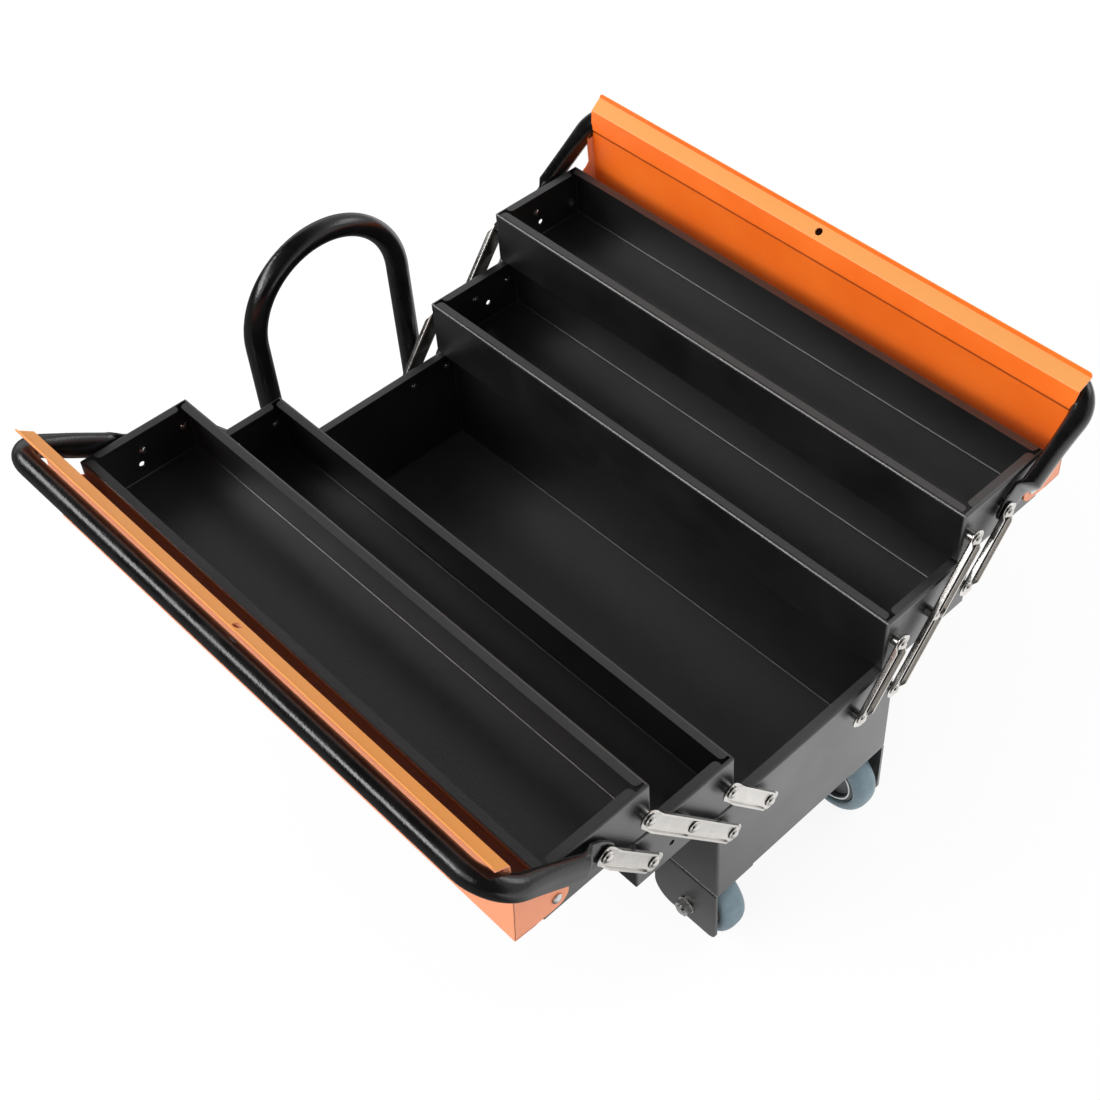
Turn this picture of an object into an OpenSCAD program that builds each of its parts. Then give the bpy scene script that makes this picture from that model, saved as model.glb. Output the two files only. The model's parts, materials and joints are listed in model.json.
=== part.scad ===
// Cantilever tool box on two wheels: a base box, two stacked trays a side on link arms,
// hinged lids carried by swinging grip tubes, and an upright pull handle on one end.
// Drawn fully open, in millimetres, +Z up, floor at z = 0 under the wheels.

/* [Base box] */
// Length of the sheet boxes along X
body_length = 530; // [360:5:700]
// Width of the base box along Y
base_width = 200; // [150:1:300]
// Height of the base box walls
base_height = 111; // [80:1:170]
// Sheet thickness of the boxes
sheet = 1.2; // [0.8:0.1:2]
// Outer radius of the folded sheet corners
fold_radius = 2.6; // [1.6:0.1:5]
// Width of the in-folded rim flanges
flange_width = 9; // [5:0.5:14]
// Gap between the flange ends at each corner
flange_gap = 2.4; // [1:0.2:5]

/* [Trays] */
// Gap between the two halves on the centre plane when closed
centre_gap = 1.2; // [0.6:0.1:3]
// Stacking gap under the middle trays
middle_gap = 1.4; // [0.6:0.1:3]
// Stacking gap under the top trays
top_gap = 1.2; // [0.6:0.1:3]
// Pivot line depth below the base rim
base_drop = 21; // [16:0.5:30]
// Pivot line depth below each tray rim
tray_drop = 25.4; // [18:0.2:32]
// Free hole size in the tray end walls
free_hole = 5; // [3:0.5:8]
// Dimple size in the tray end walls
dimple_size = 3.2; // [2:0.2:5]

/* [Links] */
// Pivot pitch of one link step
link_pitch = 68; // [54:1:84]
// Swing of the links each side of upright
link_swing = 37.4; // [30:0.1:45]
// Spacing of neighbouring link pivots
pivot_spacing = 39.5; // [32:0.5:48]
// First base pivot from the centre plane
first_pivot = 52; // [40:0.5:70]
// Width of the link channel
link_width = 16; // [12:0.5:20]
// Depth of the link channel
link_depth = 6.5; // [4:0.5:9]
// Sheet thickness of the links
link_sheet = 1.5; // [1:0.1:2.5]
// Shank diameter of the pivot rivets
rivet_shank = 5; // [4:0.5:7]
// Head diameter of the pivot rivets
rivet_head = 10; // [8:0.5:12]
// Tail diameter of the pivot rivets
rivet_tail = 8; // [7:0.5:10]
// Outer diameter of the spacer sleeves
sleeve_size = 9; // [7.5:0.5:11]
// Radial running clearance of every pivot
pivot_play = 0.06; // [0.02:0.01:0.1]
// Axial play of every pivot
side_play = 0.3; // [0.2:0.05:0.6]

/* [Lids] */
// Lid hinge distance in from the tray outer wall
hinge_inset = 11; // [9:0.5:16]
// Lid hinge depth below the tray rim
hinge_drop = 35; // [28:0.5:40]
// Sheet thickness of the lids
lid_sheet = 1; // [0.8:0.1:1.6]
// Opening angle of the back lid
back_lid_open = 87; // [80:0.1:90]
// Opening angle of the front lid
front_lid_open = 84.7; // [80:0.1:90]
// Inner face height of the lid over the hinge
lid_rise = 37.4; // [34:0.2:44]
// Skirt overhang past the tray outer wall
lid_overhang = 2.2; // [1.5:0.1:4]
// Depth of the outer skirt
skirt_depth = 21.4; // [15:0.2:28]
// Width of the main lid panel
panel_width = 74.2; // [60:0.2:80]
// Width of the stiffening band near the free edge
band_width = 14; // [10:0.5:18]
// Width of the return strip before the band
return_width = 16.5; // [10:0.5:20]
// Width of the edge lip after the band
lip_width = 4.2; // [3:0.2:6]
// Padlock hole diameter in the band
padlock_hole = 7; // [5:0.5:10]
// Gap between the tray end wall and the lid ear
ear_gap = 0.4; // [0.3:0.1:1]
// Hinge screw shank diameter
screw_shank = 4; // [3:0.5:6]

/* [Grips] */
// Diameter of the grip tubes
grip_size = 22; // [18:0.5:26]
// Distance from grip pivot to grip tube centre
grip_reach = 113; // [100:1:125]
// Back grip angle above horizontal when open
back_grip_rest = 33; // [28:0.5:38]
// Front grip angle above horizontal when open
front_grip_rest = 35; // [28:0.5:38]
// Width of the flattened grip arms
arm_width = 18; // [14:0.5:24]
// Thickness of the grip arm at its pivot
arm_plate = 3.6; // [2.5:0.1:5]
// Thickness of the grip arm halfway
arm_middle = 13; // [9:0.5:16]
// Bend radius of the grip corners
grip_bend = 24; // [16:1:32]

/* [Pull handle] */
// Diameter of the pull handle tube
pull_size = 20; // [16:0.5:25]
// Half spacing of the pull handle legs
pull_half = 76; // [55:1:88]
// Height of the pull handle top above the base bottom
pull_top = 276; // [240:1:340]
// Plane of the pull handle out from the end wall
pull_out = 32; // [30:0.5:40]
// Height of the pull handle pivots above the base bottom
pull_pivot = 20; // [16:1:40]
// Bolt diameter of the pull handle pivots
pull_bolt = 8; // [6:0.5:10]
// Bracket sheet thickness
bracket_sheet = 2.5; // [1.5:0.1:3.5]

/* [Wheels and feet] */
// Wheel diameter
wheel_size = 75; // [60:1:90]
// Wheel width
wheel_width = 24; // [18:1:30]
// Wheel centre in from the end of the box along X
wheel_end = 32; // [25:1:80]
// Space between the top of a tyre and the base box
wheel_gap = 9.5; // [5:0.5:20]
// Wheel centre in from the long wall
wheel_inset = 20; // [18:0.5:26]
// Length of the wheel bracket plate along X
wheel_plate = 67; // [50:1:80]
// Axle bolt diameter
axle_size = 8; // [6:0.5:10]
// Length of the rear feet along X
foot_length = 44; // [30:1:60]
// Thickness of the rubber foot pads
pad_height = 6; // [4:0.5:10]

/* [Hidden] */
$fa = 4;
$fs = 0.4;

// Vertical frame: sizes above the base bottom
axle_drop = wheel_size / 2 + wheel_gap;
floor_lift = axle_drop + wheel_size / 2;
half_length = body_length / 2;
wheel_x = half_length - wheel_end;
half_width = base_width / 2;
step_out = link_pitch * sin(link_swing);
step_up = link_pitch * cos(link_swing);
tray_width = half_width - centre_gap / 2;
base_pivot_z = base_height - base_drop;
middle_pivot_z = base_pivot_z + step_up;
top_pivot_z = middle_pivot_z + step_up;
middle_rim = middle_pivot_z + tray_drop;
top_rim = top_pivot_z + tray_drop;
middle_height = step_up + tray_drop - base_drop - middle_gap;
top_height = step_up - top_gap;
middle_bottom = middle_rim - middle_height;
top_bottom = top_rim - top_height;

// Pivot lines of the back side, across the box
a_line = first_pivot;
b_line = first_pivot + pivot_spacing;
c_line = first_pivot + 2 * pivot_spacing;
middle_shift = 2 * step_out;
top_shift = 4 * step_out;
middle_outer = half_width + middle_shift;
top_outer = half_width + top_shift;
grip_y = c_line + 2 * step_out;
hinge_y = top_outer - hinge_inset;
hinge_z = top_rim - hinge_drop;

// Stack of parts out from the end wall
sleeve_out = 5.5;
web_in = half_length + sleeve_out + side_play;
web_out = web_in + link_sheet;
head_in = web_out + side_play;
washer_out = 1.7;
arm_in = half_length + washer_out + 0.2;
arm_out = arm_in + arm_plate;
ear_in = half_length + ear_gap;
ear_out = ear_in + lid_sheet;
shank_r = rivet_shank / 2;
bore_r = shank_r + pivot_play;
head_height = 3;
tail_height = 2.4;

// Whole part, centred on its bounding box along X
pull_plane = half_length + pull_out;
bracket_end = pull_plane + pull_size / 2 + 3.5;
grip_arm_x = arm_in - 2.4 + grip_size / 2;
grip_end = grip_arm_x + grip_size / 2;
x_shift = (bracket_end - grip_end) / 2;

// Closed lid outline about its hinge, outward and up, outer faces
return_slope = 13;
band_slope = 60;
lip_slope = 15;
lid_side = hinge_inset + lid_overhang;
lid_top = lid_rise + lid_sheet;
panel_end = lid_side - panel_width;
return_end = panel_end - return_width * cos(return_slope);
return_top = lid_top + return_width * sin(return_slope);
band_end = return_end - band_width * cos(band_slope);
band_top = return_top + band_width * sin(band_slope);
lip_end = band_end - lip_width * cos(lip_slope);
lip_top = band_top + lip_width * sin(lip_slope);
lid_path = [
    [lid_side, lid_top - skirt_depth],
    [lid_side, lid_top],
    [panel_end, lid_top],
    [return_end, return_top],
    [band_end, band_top],
    [lip_end, lip_top]
];
lid_bend = 1.1;
strip_depth = 8;
ear_radius = 11;
band_mid = [(return_end + band_end) / 2, (return_top + band_top) / 2];

// Shared shapes

// Move a part from the base frame to the final frame
module place() {
    translate([x_shift, 0, floor_lift])
        children();
}

// Round bar along X between two places
module bar_x(from, to, r) {
    translate([from, 0, 0])
        rotate([0, 90, 0])
            cylinder(h = to - from, r = r);
}

// Round bar along Y between two places
module bar_y(from, to, r) {
    translate([0, from, 0])
        rotate([-90, 0, 0])
            cylinder(h = to - from, r = r);
}

// Rectangle about the origin with rounded corners
module round_rect(w, d, r) {
    square([w - 2 * r, d], center = true);
    square([w, d - 2 * r], center = true);
    for (sx = [-1, 1], sy = [-1, 1])
        translate([sx * (w / 2 - r), sy * (d / 2 - r)])
            circle(r = r);
}

// Solid box with every edge rounded, standing on z = 0
module soft_box(l, w, h, r) {
    intersection() {
        linear_extrude(height = h)
            round_rect(l, w, r);
        translate([-l / 2, 0, h / 2])
            rotate([90, 0, 90])
                linear_extrude(height = l)
                    round_rect(w, h, r);
        translate([0, w / 2, h / 2])
            rotate([90, 0, 0])
                linear_extrude(height = w)
                    round_rect(l, h, r);
    }
}

// Plan of the opening inside the in-folded flanges
module rim_opening(l, w) {
    inner_l = l - 2 * fold_radius;
    inner_w = w - 2 * fold_radius;
    corner = 4;
    difference() {
        square([inner_l, inner_w], center = true);
        for (s = [-1, 1]) {
            translate([0, s * w / 2])
                round_rect(inner_l - 2 * flange_gap, 2 * flange_width, corner);
            translate([s * l / 2, 0])
                round_rect(2 * flange_width, w - 2 * flange_width - 2 * flange_gap, corner);
        }
    }
}

// Open sheet box with folded edges and rim flanges, standing on z = 0
module sheet_box(l, w, h) {
    difference() {
        soft_box(l, w, h, fold_radius);
        translate([0, 0, sheet])
            soft_box(l - 2 * sheet, w - 2 * sheet, h - 2 * sheet, fold_radius - sheet);
        translate([0, 0, h - 2 * sheet])
            linear_extrude(height = 3 * sheet)
                rim_opening(l, w);
    }
}

// Copy children to both ends of the box, mirrored across X
module both_ends() {
    children();
    mirror([1, 0, 0])
        children();
}

// Mirror the back side to the front
module to_front() {
    mirror([0, 1, 0])
        children();
}

// Domed button: spherical cap of given base radius and height along +X
module dome_x(r, h) {
    big = (r * r + h * h) / (2 * h);
    intersection() {
        translate([h - big, 0, 0])
            rotate([0, 90, 0])
                rotate_extrude()
                    intersection() {
                        circle(r = big);
                        translate([0, -big])
                            square([big, 2 * big]);
                    }
        bar_x(0, h + 1, r);
    }
}

// One pivot rivet on the +X end: shank, outer head and inner tail
module pivot_rivet(y, z) {
    rim = 0.8;
    translate([0, y, z]) {
        bar_x(half_length - sheet, head_in, shank_r);
        bar_x(head_in, head_in + rim, rivet_head / 2);
        translate([head_in + rim, 0, 0])
            dome_x(rivet_head / 2, head_height - rim);
        translate([half_length - sheet, 0, 0])
            mirror([1, 0, 0]) {
                bar_x(0, rim, rivet_tail / 2);
                translate([rim, 0, 0])
                    dome_x(rivet_tail / 2, tail_height - rim);
            }
    }
}

// Hole for a pivot rivet through an end wall
module rivet_hole(y, z) {
    translate([0, y, z])
        bar_x(half_length - 4 * sheet, half_length + sheet, bore_r);
}

// Spacer sleeve between the end wall and a link web
module pivot_sleeve(y, z) {
    translate([0, y, z])
        difference() {
            bar_x(half_length, half_length + sleeve_out, sleeve_size / 2);
            bar_x(half_length - 1, half_length + sleeve_out + 1, bore_r);
        }
}

// Channel link lying on z = 0, from the origin along +X, flanges up
module channel_link(steps) {
    run = steps * link_pitch;
    half = link_width / 2;
    bend = 1.8;
    difference() {
        union() {
            for (p = [0, run])
                translate([p, 0, 0])
                    cylinder(h = link_sheet, r = half);
            rotate([90, 0, 90])
                linear_extrude(height = run)
                    difference() {
                        translate([0, link_depth])
                            round_rect(link_width, 2 * link_depth, bend);
                        translate([0, link_depth + link_sheet])
                            round_rect(link_width - 2 * link_sheet, 2 * link_depth, 0.4);
                        translate([-link_width, link_depth])
                            square([2 * link_width, 2 * link_depth]);
                    }
        }
        for (i = [0:steps])
            translate([i * link_pitch, 0, -1])
                cylinder(h = link_sheet + 2, r = bore_r);
    }
}

// Channel link on the +X end of the back side, lower pivot at y, z
module set_link(y, z, steps) {
    translate([web_in, y, z])
        rotate([-link_swing, 0, 0])
            rotate([0, -90, 0])
                mirror([0, 0, 1])
                    channel_link(steps);
}

// Holes and dimples of a tray end wall, about its inner pivot
module tray_wall_marks(y, z) {
    translate([0, y, z]) {
        bar_x(half_length - 4 * sheet, half_length + sheet, free_hole / 2);
        for (s = [-1, 1])
            translate([half_length + 0.6, s * 14, 1])
                rotate([0, 90, 0])
                    cylinder(h = 2 * 0.6, r = dimple_size / 2, center = true);
    }
}

// Back middle tray with its rivet holes
module middle_tray_shape() {
    difference() {
        translate([0, middle_outer - tray_width / 2, middle_bottom])
            sheet_box(body_length, tray_width, middle_height);
        both_ends() {
            for (line = [a_line, b_line, c_line])
                rivet_hole(line + step_out, middle_pivot_z);
            tray_wall_marks(middle_outer - tray_width + 64, middle_pivot_z - 12);
        }
    }
}

// Back top tray with its rivet, hinge and free holes
module top_tray_shape() {
    difference() {
        translate([0, top_outer - tray_width / 2, top_bottom])
            sheet_box(body_length, tray_width, top_height);
        both_ends() {
            for (line = [b_line, c_line])
                rivet_hole(line + 2 * step_out, top_pivot_z);
            translate([0, hinge_y, hinge_z])
                bar_x(half_length - 4 * sheet, half_length + sheet, screw_shank / 2 + pivot_play);
            tray_wall_marks(grip_y + 4, top_pivot_z - 12);
        }
    }
}

// Small vector helpers
function unit(v) = v / norm(v);
function left_of(v) = [-v[1], v[0]];
function leg(path, i) = unit(path[i + 1] - path[i]);
function turned(a, b) = atan2(a[0] * b[1] - a[1] * b[0], a * b);

// Signed turn at a fold, positive to the left, and zero at the two ends
function fold_turn(path, i) =
    i == 0 || i == len(path) - 1 ? 0 : turned(leg(path, i - 1), leg(path, i));

// Radius of the drawn face at a fold whose inner radius is r
function face_radius(turn, t, r) = turn > 0 ? r + t : r;

// Points along a fold, on the drawn face for side = 0 and on the other for side = 1
function fold_points(path, i, t, r, side) =
    let (
        turn = fold_turn(path, i),
        way = sign(turn),
        face = face_radius(turn, t, r),
        into = leg(path, i - 1),
        start = path[i] - into * face * tan(abs(turn) / 2),
        mid = start + left_of(into) * way * face,
        from = start - mid,
        base = atan2(from[1], from[0]),
        radius = face - side * way * t,
        steps = ceil(abs(turn) / 15)
    )
    [for (k = [0:steps]) mid + radius * [cos(base + turn * k / steps), sin(base + turn * k / steps)]];

// One face of a folded sheet, from its first point to its last
function face_points(path, t, r, side) =
    let (last = len(path) - 1)
    concat(
        [path[0] + left_of(leg(path, 0)) * t * side],
        [for (i = [1:last - 1]) each fold_points(path, i, t, r, side)],
        [path[last] + left_of(leg(path, last - 1)) * t * side]
    );

function reversed(list) = [for (i = [len(list) - 1:-1:0]) list[i]];

// Section of a folded sheet: the path is one face and the sheet lies to its left
module fold_section(path, t, r) {
    polygon(concat(
        face_points(path, t, r, 0),
        reversed(face_points(path, t, r, 1))
    ));
}

// Folded sheet of a given length along +X, its section in the YZ plane
module folded_sheet(path, t, r, length) {
    rotate([90, 0, 90])
        linear_extrude(height = length)
            fold_section(path, t, r);
}

// Point where a line from p touches a circle of radius r about the origin
function touch(p, r, side) =
    let (
        far = norm(p),
        base = atan2(p[1], p[0]),
        open = acos(r / far)
    )
    [r * cos(base + side * open), r * sin(base + side * open)];

// Outline of a lid end wall, closed lid, about its hinge
module lid_end_outline() {
    low_in = [panel_end + 38.5, lid_top - 16.4];
    low_out = [lid_side - lid_sheet / 2, lid_top - skirt_depth];
    skin = lid_sheet / 2;
    circle(r = ear_radius);
    polygon([
        low_out,
        [lid_side - skin, lid_top - 2],
        [lid_side - 2, lid_top - skin],
        [panel_end, lid_top - skin],
        [return_end + 1, return_top - skin],
        [return_end + 3, return_top - strip_depth],
        [panel_end, lid_top - strip_depth],
        [low_in[0] - 5, lid_top - strip_depth],
        low_in,
        touch(low_in, ear_radius, 1),
        [0, 0],
        touch(low_out, ear_radius, -1)
    ]);
}

// Closed lid about its hinge, X along the hinge
module lid_about_hinge() {
    lip_round = 3;
    difference() {
        union() {
            translate([-ear_out, 0, 0])
                folded_sheet(lid_path, lid_sheet, lid_bend, 2 * ear_out);
            for (x = [-ear_out, ear_in])
                translate([x, 0, 0])
                    rotate([90, 0, 90])
                        linear_extrude(height = lid_sheet)
                            lid_end_outline();
        }
        bar_x(-ear_out - 1, ear_out + 1, screw_shank / 2 + pivot_play);
        translate([0, band_mid[0], band_mid[1]])
            rotate([-band_slope, 0, 0])
                cylinder(h = 6, r = padlock_hole / 2, center = true);
        for (s = [-1, 1])
            translate([s * ear_out, lip_end, lip_top])
                rotate([-lip_slope, 0, 0])
                    lip_corner(lip_round, s);
    }
}

// Cutter that rounds one outer corner of the lip
module lip_corner(r, s) {
    translate([-s * r, r, 0])
        difference() {
            translate([s * r / 2 + s * 0.5, -r / 2 - 0.5, 0])
                cube([r + 1, r + 1, 6], center = true);
            cylinder(h = 8, r = r, center = true);
        }
}

// Prism across the grip arm from an outline in the XZ plane
module across_arm(outline) {
    translate([0, arm_width, 0])
        rotate([90, 0, 0])
            linear_extrude(height = 2 * arm_width)
                polygon(outline);
}

// Flattened grip arm on the +X end, pivot at the origin, arm along +Z
module grip_arm() {
    half = arm_width / 2;
    low = half + 5;
    middle = low + 17;
    full = middle + 16;
    high = grip_reach - grip_bend;
    swell = arm_in + arm_middle;
    difference() {
        union() {
            bar_x(arm_in, arm_out, half);
            intersection() {
                across_arm([
                    [arm_in, 0], [arm_out, 0], [arm_out, low],
                    [swell, middle], [arm_in, high - 4]
                ]);
                rotate([90, 0, 90])
                    linear_extrude(height = 2 * half_length)
                        polygon([
                            [-half, 0], [half, 0], [grip_size / 2, middle],
                            [grip_size / 2 - 3, high], [3 - grip_size / 2, high],
                            [-grip_size / 2, middle]
                        ]);
            }
            intersection() {
                translate([grip_arm_x, 0, low])
                    cylinder(h = high - low, r = grip_size / 2);
                across_arm([
                    [arm_in, low], [arm_out, low], [swell, middle],
                    [grip_end + 1, full], [grip_end + 1, high + 1], [arm_in, high + 1]
                ]);
            }
        }
        bar_x(arm_in - 1, arm_out + 1, bore_r);
    }
}

// Corner bend of the grip on the +X end, with a flat inner side
module grip_corner() {
    high = grip_reach - grip_bend;
    difference() {
        translate([grip_arm_x - grip_bend, 0, high])
            rotate([90, 0, 0])
                rotate_extrude(angle = 90)
                    translate([grip_bend, 0])
                        circle(r = grip_size / 2);
        translate([arm_in - 2 * grip_size, -grip_size, high - 1])
            cube([2 * grip_size, 2 * grip_size, grip_bend - grip_size / 2 + 1]);
    }
}

// Whole grip, pivot axis on the X axis, arms along +Z
module grip_shape() {
    inner = grip_arm_x - grip_bend;
    both_ends() {
        grip_arm();
        grip_corner();
    }
    translate([0, 0, grip_reach])
        bar_x(-inner, inner, grip_size / 2);
}

// Plate outline hanging from z = 0, from x = 0 to l, with two lower corner radii
module drop_outline(l, h, r_in, r_out) {
    translate([0, -h + r_in])
        square([l, h - r_in]);
    translate([r_in, -h])
        square([l - r_in - r_out, r_in]);
    translate([r_in, -h + r_in])
        circle(r = r_in);
    translate([l - r_out, -h + r_out])
        circle(r = r_out);
    translate([l - 2 * r_out, -h + r_out])
        square([2 * r_out, h - r_out]);
}

// Hexagon prism along +Y from y
module hex_y(y, h, across) {
    translate([0, y, 0])
        rotate([-90, 0, 0])
            cylinder(h = h, r = across / 2 / cos(30), $fn = 6);
}

// Nodes

module base_box() {
    color([0.13, 0.13, 0.14])
        place()
            difference() {
                sheet_box(body_length, base_width, base_height);
                for (s = [0, 1])
                    mirror([0, s, 0])
                        both_ends()
                            for (line = [a_line, b_line])
                                rivet_hole(line, base_pivot_z);
            }
}

module base_rivets() {
    color([0.8, 0.8, 0.82])
        place()
            for (s = [0, 1])
                mirror([0, s, 0])
                    both_ends()
                        for (line = [a_line, b_line])
                            pivot_rivet(line, base_pivot_z);
}

module base_sleeves() {
    color([0.75, 0.75, 0.77])
        place()
            for (s = [0, 1])
                mirror([0, s, 0])
                    both_ends()
                        for (line = [a_line, b_line])
                            pivot_sleeve(line, base_pivot_z);
}

plate_round = 19;
bracket_drop = axle_drop + plate_round;
bracket_flange = 42;
axle_y = half_width - wheel_inset;
plate_in = half_width - bracket_sheet;
plate_end = half_length - 1;

// Back wheel bracket: a plate flush with the long wall and a flange under the box
module wheel_bracket_shape() {
    path = [
        [half_width, -bracket_drop],
        [half_width, 0],
        [half_width - bracket_flange, 0]
    ];
    start = plate_end - wheel_plate;
    difference() {
        intersection() {
            translate([start, 0, 0])
                folded_sheet(path, bracket_sheet, 1, wheel_plate);
            translate([start, half_width + 1, 0])
                rotate([90, 0, 0])
                    linear_extrude(height = bracket_flange + 2)
                        drop_outline(wheel_plate, bracket_drop, plate_round, 8);
        }
        translate([wheel_x, 0, -axle_drop])
            bar_y(plate_in - 1, half_width + 1, axle_size / 2 + 0.05);
    }
}

module back_wheel_bracket() {
    color([0.13, 0.13, 0.14])
        place()
            wheel_bracket_shape();
}

module front_wheel_bracket() {
    color([0.13, 0.13, 0.14])
        place()
            to_front()
                wheel_bracket_shape();
}

// Axle bolt of the back wheel: head, shank and collar
module axle_bolt_shape() {
    side = wheel_width / 2;
    translate([wheel_x, 0, -axle_drop]) {
        hex_y(axle_y - side - side_play - 5, 5, 13);
        bar_y(axle_y - side - side_play, half_width + 8.5, axle_size / 2);
        bar_y(axle_y + side + side_play, plate_in, axle_size / 2 + 3);
    }
}

module axle_bolts() {
    color([0.78, 0.78, 0.8])
        place() {
            axle_bolt_shape();
            to_front()
                axle_bolt_shape();
        }
}

// Axle nut of the back wheel, outside the bracket plate
module axle_nut_shape() {
    translate([wheel_x, 0, -axle_drop])
        difference() {
            union() {
                bar_y(half_width, half_width + 1.2, 8);
                hex_y(half_width + 1.2, 5.8, 13);
            }
            bar_y(half_width - 1, half_width + 8, axle_size / 2 + 0.05);
        }
}

module axle_nuts() {
    color([0.78, 0.78, 0.8])
        place() {
            axle_nut_shape();
            to_front()
                axle_nut_shape();
        }
}

hub_r = 19;

// Ring turned about the Y axis of the back wheel
module wheel_turn() {
    translate([wheel_x, axle_y, -axle_drop])
        rotate([90, 0, 0])
            rotate_extrude()
                children();
}

// Tyre of the back wheel, rounded shoulders
module tyre_shape() {
    shoulder = 7;
    wall = wheel_size / 2 - hub_r;
    wheel_turn()
        difference() {
            translate([hub_r, 0])
                round_rect(2 * wall, wheel_width, shoulder);
            translate([hub_r - 2 * wall, -wheel_width])
                square([2 * wall, 2 * wheel_width]);
            for (s = [-1, 1])
                translate([hub_r + 4.5, s * (wheel_width / 2 + 0.6)])
                    circle(r = 1.8);
        }
}

// Hub of the back wheel: rim ring, sunk web and boss
module hub_shape() {
    seat = 0.05;
    rim = 2.6;
    half = wheel_width / 2;
    bore = axle_size / 2 + pivot_play;
    wheel_turn()
        difference() {
            translate([bore, -half])
                square([hub_r - seat - bore, 2 * half]);
            for (s = [-1, 1])
                translate([bore + 4.2, s > 0 ? half - 4 : -half - 4])
                    square([hub_r - rim - bore - 4.2, 8]);
            for (s = [-1, 1])
                translate([0, s > 0 ? half - 1.2 : -half - 1])
                    square([bore + 4.3, 2.2]);
        }
}

module back_tyre() {
    color([0.45, 0.53, 0.57])
        place()
            tyre_shape();
}

module front_tyre() {
    color([0.45, 0.53, 0.57])
        place()
            to_front()
                tyre_shape();
}

module back_hub() {
    color([0.2, 0.2, 0.22])
        place()
            hub_shape();
}

module front_hub() {
    color([0.2, 0.2, 0.22])
        place()
            to_front()
                hub_shape();
}

foot_flange = 38;
foot_z = -floor_lift + pad_height;
foot_x = -plate_end + foot_length / 2;
pad_y = half_width - foot_flange / 2;
pad_r = 14;

// Back rear foot: a folded leg with a flange at both ends
module foot_bracket_shape() {
    path = [
        [half_width - foot_flange, foot_z],
        [half_width, foot_z],
        [half_width, 0],
        [half_width - bracket_flange, 0]
    ];
    difference() {
        translate([foot_x - foot_length / 2, 0, 0])
            folded_sheet(path, bracket_sheet, 1, foot_length);
        translate([foot_x, pad_y, foot_z - 1])
            cylinder(h = bracket_sheet + 2, r = 3.05);
    }
}

module back_foot_bracket() {
    color([0.13, 0.13, 0.14])
        place()
            foot_bracket_shape();
}

module front_foot_bracket() {
    color([0.13, 0.13, 0.14])
        place()
            to_front()
                foot_bracket_shape();
}

// Rubber pad with a button that snaps through the foot flange
module pad_shape() {
    translate([foot_x, pad_y, foot_z])
        rotate_extrude()
            polygon([
                [0, -pad_height],
                [pad_r - 1, -pad_height],
                [pad_r, -pad_height + 1],
                [pad_r, -1],
                [pad_r - 1, 0],
                [3, 0],
                [3, bracket_sheet],
                [4.5, bracket_sheet],
                [4, bracket_sheet + 1.8],
                [0, bracket_sheet + 1.8]
            ]);
}

module foot_pads() {
    color([0.1, 0.1, 0.1])
        place() {
            pad_shape();
            to_front()
                pad_shape();
        }
}

pull_r = pull_size / 2;
ear_side = pull_r + 0.4;
pull_plate = 2;

// Bracket on the back half of the -X end wall: a plate and two ears
module pull_bracket_shape() {
    tall = 38;
    wide = 46;
    reach = pull_out;
    nose = bracket_end - pull_plane;
    translate([-half_length, pull_half, pull_pivot]) {
        difference() {
            union() {
                translate([-pull_plate, 0, 0])
                    rotate([90, 0, 90])
                        linear_extrude(height = pull_plate)
                            round_rect(wide, tall, 5);
                for (s = [-1, 1])
                    translate([0, s > 0 ? ear_side + bracket_sheet : -ear_side, 0])
                        rotate([90, 0, 0])
                            linear_extrude(height = bracket_sheet) {
                                translate([-reach, -nose])
                                    square([reach - pull_plate, 2 * nose]);
                                translate([-reach, 0])
                                    circle(r = nose);
                            }
            }
            translate([-reach, 0, 0])
                bar_y(-wide, wide, pull_bolt / 2 + 0.05);
        }
        for (s = [-1, 1])
            translate([-pull_plate, s * 18.5, 0])
                mirror([1, 0, 0])
                    dome_x(3.6, 2);
    }
}

module pull_brackets() {
    color([0.13, 0.13, 0.14])
        place() {
            pull_bracket_shape();
            to_front()
                pull_bracket_shape();
        }
}

// Pivot bolt of the back leg: hex head, shank and hex nut
module pull_bolt_shape() {
    side = ear_side + bracket_sheet;
    translate([-pull_plane, pull_half, pull_pivot]) {
        hex_y(side, 5, 13);
        bar_y(-side, side, pull_bolt / 2);
        hex_y(-side - 6, 6, 13);
        bar_y(-side - 8, -side - 6, pull_bolt / 2 - 0.3);
    }
}

module pull_bolts() {
    color([0.78, 0.78, 0.8])
        place() {
            pull_bolt_shape();
            to_front()
                pull_bolt_shape();
        }
}

pull_wall = 1.8;
pull_foot = 12;

// Ring section of the pull handle tube
module pull_ring() {
    difference() {
        circle(r = pull_r);
        circle(r = pull_r - pull_wall);
    }
}

module pull_handle() {
    low = pull_pivot - pull_foot;
    arch = pull_top - pull_half;
    color([0.06, 0.06, 0.07])
        place()
            translate([-pull_plane, 0, 0])
                difference() {
                    union() {
                        for (s = [-1, 1])
                            translate([0, s * pull_half, low])
                                linear_extrude(height = arch - low)
                                    pull_ring();
                        translate([0, 0, arch])
                            rotate([90, 0, 90])
                                rotate_extrude(angle = 180)
                                    translate([pull_half, 0])
                                        pull_ring();
                    }
                    translate([0, 0, pull_pivot])
                        bar_y(-2 * pull_half, 2 * pull_half, pull_bolt / 2 + pivot_play);
                }
}

module back_middle_tray() {
    color([0.13, 0.13, 0.14])
        place()
            middle_tray_shape();
}

module back_top_tray() {
    color([0.13, 0.13, 0.14])
        place()
            top_tray_shape();
}

module front_middle_tray() {
    color([0.13, 0.13, 0.14])
        place()
            to_front()
                middle_tray_shape();
}

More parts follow.
